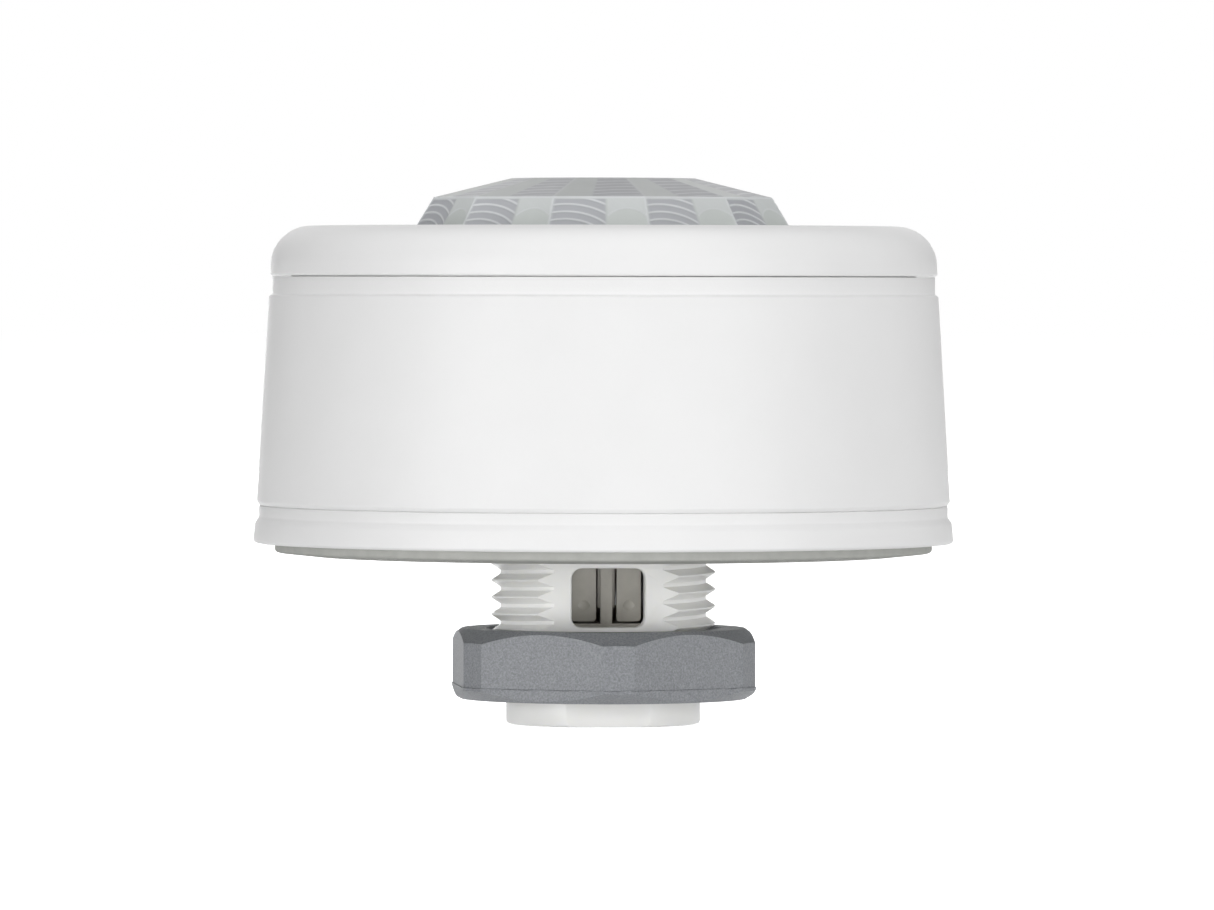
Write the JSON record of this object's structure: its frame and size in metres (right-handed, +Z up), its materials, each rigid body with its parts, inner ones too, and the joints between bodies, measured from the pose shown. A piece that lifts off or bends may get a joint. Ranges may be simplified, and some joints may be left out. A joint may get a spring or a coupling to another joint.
{
  "type": "ceiling presence sensor",
  "caption": "Round white presence sensor with a faceted lens, on a hollow threaded stem with a hex locknut and terminal release levers.",
  "frame": {"origin": "on the stem's axis, in the plane of the gasket's underside, which meets the luminaire's wall", "axes": "+Z up the stem's axis towards the lens, -Y out of the stem's window"},
  "size_m": [0.0622, 0.0622, 0.0484],
  "materials": {
    "housing": "fine spark-eroded matt, traffic white polycarbonate",
    "stem": "smooth satin, white polycarbonate",
    "gasket": "soft matt, light grey",
    "seal": "matt black O-ring",
    "lens": "milky translucent polyethylene",
    "nut": "grained grey polyamide",
    "clamp": "satin warm light grey polyamide",
    "steel": "bright rolled",
    "copper": "tinned copper",
    "board": "green solder mask",
    "black": "moulded epoxy",
    "amber": "clear epoxy"
  },
  "bodies": {
    "sensor": {"base_gasket": "gasket", "base_plate": "housing", "housing_body": "housing", "top_cover": "housing", "lens_dome": "lens", "lens_retaining_ring": "housing", "housing_seal": "seal", "cover_seal": "seal", "stem_seal": "seal", "threaded_stem": "stem", "terminal_housing": "clamp", "clamp_spring_left": "steel", "contact_bar_left": "copper", "clamp_spring_right": "steel", "contact_bar_right": "copper", "control_board": "board", "sensor_board": "board", "board_spacer_a": "housing", "board_spacer_b": "housing", "board_spacer_c": "housing", "board_screw_a": "steel", "board_screw_b": "steel", "board_screw_c": "steel", "board_connector": "black", "pir_header": "steel", "pir_can": "steel", "pir_window": "black", "light_sensor": "amber", "status_led": "amber", "ir_receiver": "black", "microcontroller": "black", "bridge_rectifier": "black", "buffer_capacitor": "steel", "choke": "black"},
    "locknut": {"locknut": "nut"},
    "release_lever_left": {"release_lever_left": "clamp"},
    "release_lever_right": {"release_lever_right": "clamp"}
  },
  "joints": [
    {"name": "locknut_travel", "type": "slide", "parent": "sensor", "child": "locknut", "axis": [0, 0, 1], "range_m": [-0.0045, 0.006]},
    {"name": "lever_press_left", "type": "hinge", "parent": "sensor", "child": "release_lever_left", "pos_m": [-0.00198, -0.00385, 0.0012], "axis": [1, 0, 0], "range_deg": [0, 9], "stiffness_Nm_per_rad": 0.01, "springref_deg": -5.73},
    {"name": "lever_press_right", "type": "hinge", "parent": "sensor", "child": "release_lever_right", "pos_m": [0.00198, -0.00385, 0.0012], "axis": [1, 0, 0], "range_deg": [0, 9], "stiffness_Nm_per_rad": 0.01, "springref_deg": -5.73}
  ]
}
